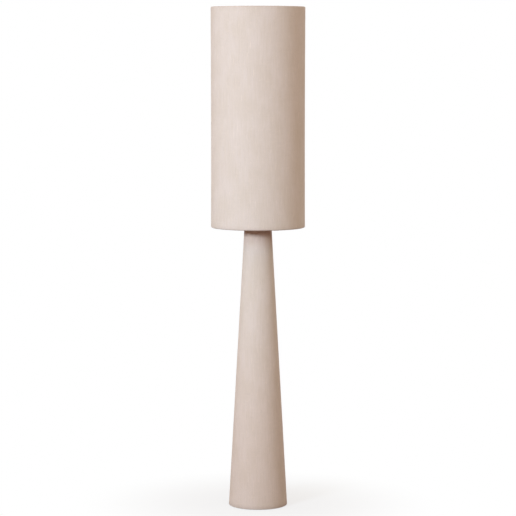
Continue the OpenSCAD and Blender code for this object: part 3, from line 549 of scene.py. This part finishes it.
# Each point goes back to the wall's own curve, as far proud of it as the slub is thick, and
# a slub that reaches a turned end stops there
bent = slubs.vector("SCALE", outward, wall + slubs.named("stand") * slubs.named("thick"))
within = slubs.math("MINIMUM", slubs.math("MAXIMUM", z, slubs.size("Low")), slubs.size("High"))
both = slubs.add("GeometryNodeSetPosition", None,
                 {"Geometry": both, "Position": slubs.vector("ADD", bent, slubs.joined(0, 0, within))})
both = slubs.store(both, "UVMap", slubs.joined(from_front * wall, z, 0), "FLOAT2", "CORNER")
slubs.finish(both)

upright_in_sq_metre, cross_in_sq_metre = 1100, 240


def cloth_slubs(name, cloth, body, **sizes):
    """The slubs of one cloth, on its own mesh's face."""
    piece = in_scene(name, cloth.data.copy())
    shaped(piece, slubs, Material=linen.material, Upright_Density=upright_in_sq_metre,
           Cross_Density=cross_in_sq_metre, **sizes)
    plain(piece, sharp=180)
    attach(piece, body)
    return piece


# The middles of the slubs lie a little off the drawn face, since the cloth is uneven
slub_middle_z, off_column, clear_of_fold = 460 * MM, 0.03 * MM, 1 * MM
column_slubs = cloth_slubs(
    "column_slubs", cloth, "column", Seed=3, Seam=column_seam, Slope=column_slope, Apex_Sine=apex_sine,
    Middle_Radius=column_r(slub_middle_z) + off_column, Middle_Height=slub_middle_z,
    Waist=0, Half_Height=1, Low=low_z + clear_of_fold, High=high_z - clear_of_fold)

cut_area = sum((2 * math.pi * apex_sine * (a + b) / 2 + column_lap) * abs(a - b)
               for a, b in zip(reach_of, reach_of[1:]))
half_angle = math.pi * apex_sine
2 * reach_of[0] * math.sin(half_angle) + column_lap
reach_of[0] - reach_of[-1] * math.cos(half_angle)


# ---- The cap on the column ----
# Pressed sheet steel, powder coated in the cloth's colour. It closes the cone's top, and its
# rim plugs into the cloth's fold. The nipple of the lamp-holder passes through its middle.

def grained(name, dark, light, lumps, rough, depth, stretch=(1, 1, 1), **constants):
    """A finish with one grain, which its colour, its shine and its relief share, and with
    broad soft blotches, where it is handled or the coat is thinner."""
    finish = Finish(name, **constants)
    blotch_size = 15
    grain = finish.noise(finish.place, tuple(lumps * s for s in stretch), 4)
    blotch = finish.noise(finish.place, tuple(lumps / blotch_size * s for s in stretch), 3)
    both = grain * 0.55 + blotch * 0.45
    finish.set(Base_Color=finish.mix(finish.fade(both, 0.36, 0.64), dark, light),
               Roughness=finish.fade(grain * 0.3 + blotch * 0.7, 0.36, 0.64, *rough))
    finish.bump(grain, depth)
    return finish


sand_coat = grained("sand_powder_coat", dark=(0.56, 0.49, 0.42), light=(0.63, 0.56, 0.49),
                    lumps=1300, rough=(0.46, 0.62), depth=0.05 * MM)
coat(sand_coat, "column_cap")


# ---- The foot: weight, plate and felt ----
# A cast iron disc keeps the lamp upright. A zinc-plated plate, held by countersunk screws,
# closes it underneath, and a ring of pressed felt is glued to the plate.

iron = grained("raw_casting", dark=(0.030, 0.030, 0.033), light=(0.085, 0.080, 0.078),
               lumps=520, rough=(0.55, 0.80), depth=0.45 * MM, Metallic=0.5)
coat(iron, "base_weight")

zinc = Finish("zinc_plate", Metallic=1.0)
spangle = zinc.add("ShaderNodeTexVoronoi", {"feature": "F1"},
                   {"Vector": zinc.vector("MULTIPLY", zinc.place, (420, 420, 420)), "Scale": 1},
                   output="Color")
crystal = zinc.add("ShaderNodeSeparateColor", None, {0: spangle})
haze = zinc.noise(zinc.place, 60, 4)
scratch = zinc.noise(zinc.place, (2600, 2600, 130), 2)
zinc.set(Base_Color=zinc.mix(crystal * 0.5 + haze * 0.5, (0.50, 0.52, 0.55), (0.70, 0.70, 0.66)),
         Roughness=zinc.fade(crystal * 0.3 + haze * 0.5 + scratch * 0.3, 0.3, 0.8, 0.24, 0.50))
zinc.bump(scratch * 0.5 + crystal * 0.2, 0.02 * MM)
coat(zinc, "base_plate", "plate_screws")

felt = Finish("pressed_felt", Sheen_Weight=0.35, Sheen_Roughness=0.6, Specular_IOR_Level=0.1)
fibre = felt.noise(felt.place, (2880, 840, 1080), 4)
other = felt.noise(felt.place, (700, 2400, 900), 4)
tuft = felt.noise(felt.place, 240, 2)
felt.set(Base_Color=felt.mix(felt.fade(fibre * 0.4 + other * 0.4 + tuft * 0.3, 0.42, 0.68),
                             (0.035, 0.033, 0.031), (0.105, 0.099, 0.092)),
         Roughness=felt.fade(tuft, 0.3, 0.7, 0.90, 1.0))
felt.bump(fibre * 0.5 + other * 0.5 + tuft * 0.4, 0.5 * MM)
coat(felt, "felt_pad")


# ---- The cord gland ----
# A black moulded bush, pushed through the cloth and the board at the back of the foot. The
# photograph shows no cord, so the bush is empty.

black = grained("black_moulding", dark=(0.009, 0.009, 0.010), light=(0.020, 0.020, 0.021),
                lumps=1700, rough=(0.36, 0.52), depth=0.03 * MM)
coat(black, "cord_gland")


# ---- The tube that ties the lamp together ----
# A steel tube with a threaded nipple in each end, under tension between the plate and the
# cap. Its nuts, washers and nipples are zinc plated, as the plate is.

coat(zinc, "centre_tube", "lower_nipple", "lower_washer", "lower_nut",
     "upper_nipple", "cap_washer", "cap_nut")


# ---- The wiring in the foot ----
# A moulded terminal block joins the cord's cores to the lamp-holder's. The earth core ends
# in a brass lug, which a brass screw ties to the weight.

white_moulding = grained("white_moulding", dark=(0.76, 0.76, 0.73), light=(0.84, 0.84, 0.82),
                         lumps=1500, rough=(0.28, 0.42), depth=0.03 * MM)
brass = grained("brass", dark=(0.66, 0.46, 0.19), light=(0.84, 0.64, 0.32),
                lumps=900, rough=(0.24, 0.42), depth=0.02 * MM, stretch=(1, 1, 5), Metallic=1.0)
coat(white_moulding, "terminal_block")
coat(brass, "terminal_screws", "earth_lug", "earth_screw")
coat(zinc, "block_screws")

core = {"lumps": 1200, "rough": (0.34, 0.48), "depth": 0.03 * MM}
coat(grained("brown_core", dark=(0.085, 0.040, 0.020), light=(0.115, 0.054, 0.028), **core), "live_wire")
coat(grained("blue_core", dark=(0.022, 0.085, 0.33), light=(0.034, 0.115, 0.42), **core), "neutral_wire")

earth = Finish("green_and_yellow_core")
x, y, z = earth.parts(earth.place)
# The two colours change over along a slanting line, with this many radians to a metre
slant_y, slant_z, stripes = 0.7, 0.45, 1500
band = earth.math("SINE", (x + y * slant_y + z * slant_z) * stripes)
smear = earth.noise(earth.place, 1100, 3)
earth.set(Base_Color=earth.mix(earth.fade(band + smear * 0.2, -0.15, 0.35),
                               (0.05, 0.30, 0.05), (0.75, 0.56, 0.04)),
          Roughness=earth.fade(smear, 0.3, 0.7, *core["rough"]))
earth.bump(smear, core["depth"])
coat(earth, "earth_lead")


# ---- The lamp-holder ----
# A black moulded screw lamp-holder: a domed cap with a grub screw, and a body with a long
# threaded skirt. Inside are a white steatite insert, a brass screw shell and a contact.

steatite = grained("steatite", dark=(0.72, 0.70, 0.64), light=(0.82, 0.80, 0.75),
                   lumps=1900, rough=(0.48, 0.68), depth=0.05 * MM)
coat(black, "holder_cap", "holder_body")
coat(zinc, "holder_grub_screw", "holder_terminal_screws")
coat(brass, "screw_shell", "centre_contact", "holder_terminals")
coat(steatite, "holder_insert")


# ---- The bulb ----
# A small opal globe with a screw cap. The globe is a moulded diffuser over a board of
# lights, which stands on a white housing with its driver inside.

opal = grained("opal_globe", dark=(0.83, 0.82, 0.77), light=(0.88, 0.87, 0.83),
               lumps=700, rough=(0.24, 0.36), depth=0.03 * MM,
               Subsurface_Weight=0.3, Subsurface_Scale=4 * MM)
nickel = grained("nickel_plate", dark=(0.60, 0.57, 0.52), light=(0.76, 0.73, 0.68),
                 lumps=800, rough=(0.18, 0.36), depth=0.02 * MM, stretch=(1, 1, 4), Metallic=1.0)
white_board = grained("white_board", dark=(0.74, 0.75, 0.72), light=(0.84, 0.84, 0.80),
                      lumps=900, rough=(0.35, 0.55), depth=0.04 * MM)
green_board = grained("green_board", dark=(0.012, 0.075, 0.035), light=(0.030, 0.140, 0.065),
                      lumps=900, rough=(0.30, 0.48), depth=0.06 * MM)
coat(opal, "bulb_globe")
coat(nickel, "bulb_cap", "bulb_contact")
coat(white_moulding, "bulb_housing")
coat(black, "bulb_insulator")
coat(white_board, "led_board")
coat(green_board, "led_driver")


# ---- The shade's wire frame ----
# Two rings of steel wire, three straight arms and a flat ring that drops over the
# lamp-holder's skirt, all spot welded and then powder coated white.

white_coat = grained("white_powder_coat", dark=(0.76, 0.75, 0.71), light=(0.85, 0.84, 0.80),
                     lumps=1400, rough=(0.40, 0.58), depth=0.05 * MM)
coat(white_coat, "shade_top_ring", "shade_bottom_ring", "spider_arms", "fitter_ring")

wire_d, wire_r = 4 * MM, 146.7 * MM
shade_low_z, shade_high_z = 900 * MM, 1600 * MM
# The middle of each ring's wire lies this far inside the shade's edge
fold_rise = 3.025 * MM
arm_turns = [math.radians(a) for a in (90, 210, 330)]
arm_foot, arm_head = (wire_r, shade_low_z + fold_rise), (30.5 * MM, 961 * MM)
arm_run = Vector((arm_head[0] - arm_foot[0], 0, arm_head[1] - arm_foot[1])).normalized()


def on_arm(turn, from_foot):
    """A point on the middle line of an arm, that far from the lower ring."""
    r, z = arm_foot[0] + arm_run.x * from_foot, arm_foot[1] + arm_run.z * from_foot
    return Vector((r * math.cos(turn), r * math.sin(turn), z))


# The weld beads are lumpy balls of melted wire, each turned and sized a little differently
beads = Shape("weld_beads", ("Size", "Flat", "Rough"), ("Seed",))
ball = beads.add("GeometryNodeMeshIcoSphere", None, {"Radius": 1.0, "Subdivisions": 3})
whole_turn, elsewhere = 6.28, (3, 7, 11)
turned = beads.joined(0, 0, beads.random(0, whole_turn, beads.size("Seed")))
spin = beads.add("FunctionNodeEulerToRotation", None, {0: turned})
size = beads.size("Size") * beads.random(0.9, 1.1, beads.size("Seed") + 1)
melted = beads.add("GeometryNodeInstanceOnPoints", None,
                   {"Points": beads.size("Geometry"), "Instance": ball, "Rotation": spin,
                    "Scale": beads.joined(size, size, size * beads.size("Flat"))})
melted = beads.add("GeometryNodeRealizeInstances", None, {"Geometry": melted})
where = beads.vector("ADD", beads.add("GeometryNodeInputPosition"), elsewhere)
lumpy = beads.noise(where, 330, 2) - 0.5
swollen = beads.vector("SCALE", beads.add("GeometryNodeInputNormal"), lumpy * beads.size("Rough"))
melted = beads.add("GeometryNodeSetPosition", None, {"Geometry": melted, "Offset": swollen})
beads.finish(melted)

at_foot, at_head = wire_d / 2, math.dist(arm_foot, arm_head) - 2.2 * MM
bead_mesh = bpy.data.meshes.new("weld_beads")
bead_mesh.from_pydata([on_arm(turn, d) for turn in arm_turns for d in (at_foot, at_head)], [], [])
bead_piece = in_scene("weld_beads", bead_mesh)
shaped(bead_piece, beads, Material=white_coat.material, Size=2.7 * MM, Flat=0.8, Rough=1.1 * MM, Seed=4)
plain(bead_piece, sharp=180)
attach(bead_piece, "shade")


# ---- The shade's lining ----
# A sheet of white styrene half a millimetre thick, which gives the drum its shape. It is
# rolled round and its edge is glued on the inside, and it stands on the two rings.

shade_r, shade_waist = 149.65 * MM, 0.8 * MM
shade_thick, lining_thick = 0.7 * MM, 0.5 * MM
shade_middle = (shade_low_z + shade_high_z) / 2
shade_half = shade_high_z - shade_middle - fold_rise


def shade_wall(z):
    """The middle of the cloth's thickness. The drum is drawn in a little half-way up."""
    return shade_r - shade_waist * (1 - ((z - shade_middle) / shade_half) ** 2)


# The lap ends short of both rings, beside which there is no room for a second layer
lining_steps, lap_short, lap_ease = 56, 12 * MM, 8 * MM
lining_in = (shade_thick + lining_thick) / 2 + glue_gap
lining_zs = [shade_middle + shade_half * (2 * i / lining_steps - 1) for i in range(lining_steps + 1)]
lining_line = [(shade_wall(z) - lining_in, z) for z in lining_zs]
lining_lap = [(shade_half - abs(z - shade_middle) - lap_short) / lap_ease for z in lining_zs]
lining_sheet = section_object(
    "shade_lining", lining_line, flat_r=[shade_r - lining_in] * len(lining_line),
    cut_y=distances(lining_line), fold=[0] * len(lining_line), ripple=[0] * len(lining_line),
    lapped=[min(1, max(0, share)) for share in lining_lap])

styrene = Finish("white_styrene", Specular_IOR_Level=0.4)
roll = styrene.noise(styrene.place, (9, 9, 60), 3)
mottle = styrene.noise(styrene.place, 650, 2)
styrene.set(Base_Color=styrene.mix(styrene.fade(roll * 0.7 + mottle * 0.3, 0.3, 0.7),
                                   (0.80, 0.78, 0.73), (0.86, 0.85, 0.81)),
            Roughness=styrene.fade(roll + mottle * 0.5, 0.4, 1.1, 0.42, 0.62))
styrene.bump(mottle * 0.6 + roll * 0.4, 0.04 * MM)

lining_seam = math.radians(-7)
shaped(lining_sheet, wrap, Material=styrene.material, Columns=300, Seam=lining_seam, Lap=12 * MM,
       Lift=-(lining_thick + glue_gap), Ramp=4 * MM, Puckers=1, Uneven=0, Apex_Sine=0)
thicken(lining_sheet, lining_thick)
plain(lining_sheet)
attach(lining_sheet, "shade")
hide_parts("shade_liner")


# ---- The shade's cloth ----
# The same linen-look cloth, a plain strip that is glued round the lining and laps at the
# back. Both long edges are folded in round the rings and glued down to the lining.

shade_fold = fold_rise - shade_thick / 2
shade_lap, shade_hem, shade_seam = 10 * MM, 8 * MM, math.radians(8)
# The fold goes so many degrees past its half turn, back towards the lining
hem_lean = 35
top_fold = arc((shade_r - shade_fold, shade_high_z - fold_rise), shade_fold, 0, 180 + hem_lean, 16)


def hem_wall(z):
    """The middle of the hem's thickness, where it is glued to the lining."""
    return shade_wall(z) - shade_thick - lining_thick - 2 * glue_gap


lean_r, lean_z = top_fold[-1]
hem_z = lean_z - (hem_wall(lean_z) - lean_r) / math.tan(math.radians(hem_lean))
hem_rows, lean_rows, shade_steps = 5, 3, 58
top_hem = [(hem_wall(z), z) for z in (hem_z - shade_hem * i / hem_rows for i in range(hem_rows + 1))]
top_end = top_fold + steps_between(top_fold[-1], top_hem[0], lean_rows) + top_hem
bottom_end = [(r, 2 * shade_middle - z) for r, z in reversed(top_end)]
wall_zs = [shade_middle + shade_half * (2 * i / shade_steps - 1) for i in range(1, shade_steps)]
shade_line = bottom_end + [(shade_wall(z), z) for z in wall_zs] + top_end


def shade_ripple(r, z, puckers):
    """How far the cloth waves where it is turned in, towards the drum's two ends. Cloth that
    is too wide by a share s waves by its wavelength times the root of s over pi, and most of
    that is pressed flat."""
    turned_in, inside, left = 16 * MM, 0.4 * MM, 0.4
    if abs(z - shade_middle) <= shade_half - turned_in or r >= shade_wall(z) - inside:
        return 0
    return 2 * r / puckers * math.sqrt(max(0, (shade_r - r) / shade_r)) * left


puckers = 78
shade_sheet = section_object(
    "shade_cloth", shade_line, flat_r=[shade_r] * len(shade_line), cut_y=distances(shade_line),
    fold=fold_shade(shade_line, shade_low_z, shade_high_z), lapped=[1] * len(shade_line),
    ripple=[shade_ripple(r, z, puckers) for r, z in shade_line])
shaped(shade_sheet, wrap, Material=linen.material, Columns=420, Seam=shade_seam, Lap=shade_lap,
       Lift=shade_thick + glue_gap, Ramp=6 * MM, Uneven=0.14 * MM, Puckers=puckers, Apex_Sine=0)
thicken(shade_sheet, shade_thick)
notch_r, notch_start, notch_end = wire_d / 2 + 0.4 * MM, 0.8 * MM, 16 * MM
cut_out(shade_sheet, *[rod("arm_notch", on_arm(turn, notch_start), on_arm(turn, notch_end), notch_r)
                       for turn in arm_turns])
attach(shade_sheet, "shade")
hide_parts("shade_cover")

off_shade = 0.05 * MM
shade_slubs = cloth_slubs(
    "shade_slubs", shade_sheet, "shade", Seed=8, Seam=shade_seam, Slope=0, Apex_Sine=0,
    Middle_Radius=shade_r + shade_thick / 2 - shade_waist + off_shade, Middle_Height=shade_middle,
    Waist=shade_waist, Half_Height=shade_half,
    Low=shade_middle - shade_half, High=shade_middle + shade_half)
distances(shade_line)[-1]


# ---- The ring that clamps the shade ----
# A black moulded ring with grips, screwed down the lamp-holder's skirt on to the shade's
# flat ring. Slackened by a turn, it lets the shade swivel.

coat(black, "clamp_ring")


# ---- The floor, the backdrop, the lights and the camera ----
# A plain pale floor and a white surround. One wide, low lamp stands at the left in front,
# so that the shade's rim throws its shadow on the top of the column.

scene = bpy.context.scene
scene.view_settings.view_transform = "Standard"

camera_far, camera_z, camera_dip = 6.856, 1.457, 5.47
camera = in_scene("camera", bpy.data.cameras.new("camera"))
camera.location = (0, -camera_far, camera_z)
camera.rotation_euler = (math.radians(90 - camera_dip), 0, 0)
camera.data.lens, camera.data.sensor_width, camera.data.clip_end = 150, 36, 200
scene.camera = camera


def sees_backdrop(tree):
    """1 for rays of the camera, and for those that shiny and clear pieces send on."""
    rays = tree.add("ShaderNodeLightPath", output="Is Camera Ray")
    sent_on = tree.math("MAXIMUM", rays.out("Is Glossy Ray"), rays.out("Is Transmission Ray"))
    return tree.math("MAXIMUM", rays, sent_on)


# What lights the lamp is bright a little above the level, dimmer overhead and dull below
world = bpy.data.worlds.new("surround")
scene.world = world
world.use_nodes = True
surround = Tree(world.node_tree)
above = surround.parts(surround.add("ShaderNodeTexCoord", output="Generated"))[2]
band_of_sky = surround.fade(above, 0.08, 0.22) * surround.fade(above, 0.42, 0.75, 1, 0.3)
sky = surround.add("ShaderNodeMix", {"data_type": "RGBA"},
                   {"Factor": band_of_sky, "A": (0.20, 0.08, 0.06), "B": (1.38, 1.33, 1.21)})
room = surround.add("ShaderNodeBackground", None, {"Color": sky, "Strength": 1})
blank = surround.add("ShaderNodeBackground", None, {"Color": (1, 1, 1), "Strength": 1})
surround.feed(world.node_tree.nodes["World Output"].inputs["Surface"],
              surround.add("ShaderNodeMixShader", None, {0: sees_backdrop(surround), 1: room, 2: blank}))

floor_r, floor_sides = 40.0, 64
floor_turns = [2 * math.pi * i / floor_sides for i in range(floor_sides)]
floor_mesh = bpy.data.meshes.new("floor")
floor_mesh.from_pydata([(floor_r * math.cos(a), floor_r * math.sin(a), 0) for a in floor_turns],
                       [], [tuple(range(floor_sides))])
floor = in_scene("floor", floor_mesh)
pale = Finish("pale_floor", Roughness=0.9, Specular_IOR_Level=0.1)
far_off = pale.vector("LENGTH", pale.place, output="Value")
seen = sees_backdrop(pale)
# The light that the floor throws back on the lamp is weak near it, and reddish further off
bounce = pale.mix(pale.fade(far_off, 0.5, 3.2), (0.04, 0.03, 0.03), (0.38, 0.25, 0.205))
pale.set(Base_Color=pale.mix(seen, bounce, (0.75, 0.75, 0.75)))
lit_floor = Value(pale, pale.shader, pale.shader.outputs[0])
glow = pale.add("ShaderNodeEmission", None, {"Color": (1, 1, 1), "Strength": 1})
# The shadow shows round the foot, and further off the floor turns as white as the surround
blank_share = pale.fade(far_off, 0.15, 0.6, 0.7, 1) * seen
ground = pale.add("ShaderNodeMixShader", None, {0: blank_share, 1: lit_floor, 2: glow})
# From below the floor isn't there, so that the foot can be looked at
from_below = (pale.add("ShaderNodeNewGeometry", output="Backfacing")
              * pale.add("ShaderNodeLightPath", output="Is Camera Ray"))
ground = pale.add("ShaderNodeMixShader", None,
                  {0: from_below, 1: ground, 2: pale.add("ShaderNodeBsdfTransparent")})
pale.feed(pale.tree.nodes["Material Output"].inputs["Surface"], ground)
floor_mesh.materials.append(pale.material)


def lamp(name, kind, place, target, power, colour, **settings):
    light = bpy.data.lights.new(name, kind)
    light.energy, light.color = power, colour
    for setting, value in settings.items():
        setattr(light, setting, value)
    piece = in_scene(name, light)
    piece.location = place
    piece.rotation_euler = (Vector(target) - Vector(place)).to_track_quat("-Z", "Y").to_euler()
    piece.visible_camera = False


key_turn, key_far, key_z, key_aim_z = math.radians(36), 4.6, 1.93, 1.1
lamp("key", "AREA", (-key_far * math.sin(key_turn), -key_far * math.cos(key_turn), key_z),
     (0, 0, key_aim_z), power=160, colour=(0.64, 0.80, 1.0), shape="RECTANGLE", size=1.2, size_y=0.6)
# A narrow spot straight above reaches down the shade to the bulb, and lights nothing else
spot_z, bulb_z, spot_reach = 4.6, 1.0, 40 * MM
lamp("spot", "SPOT", (0, 0, spot_z), (0, 0, bulb_z), power=480, colour=(1, 1, 1),
     shadow_soft_size=0.03, spot_blend=0.3, spot_size=2 * math.atan(spot_reach / (spot_z - bulb_z)))
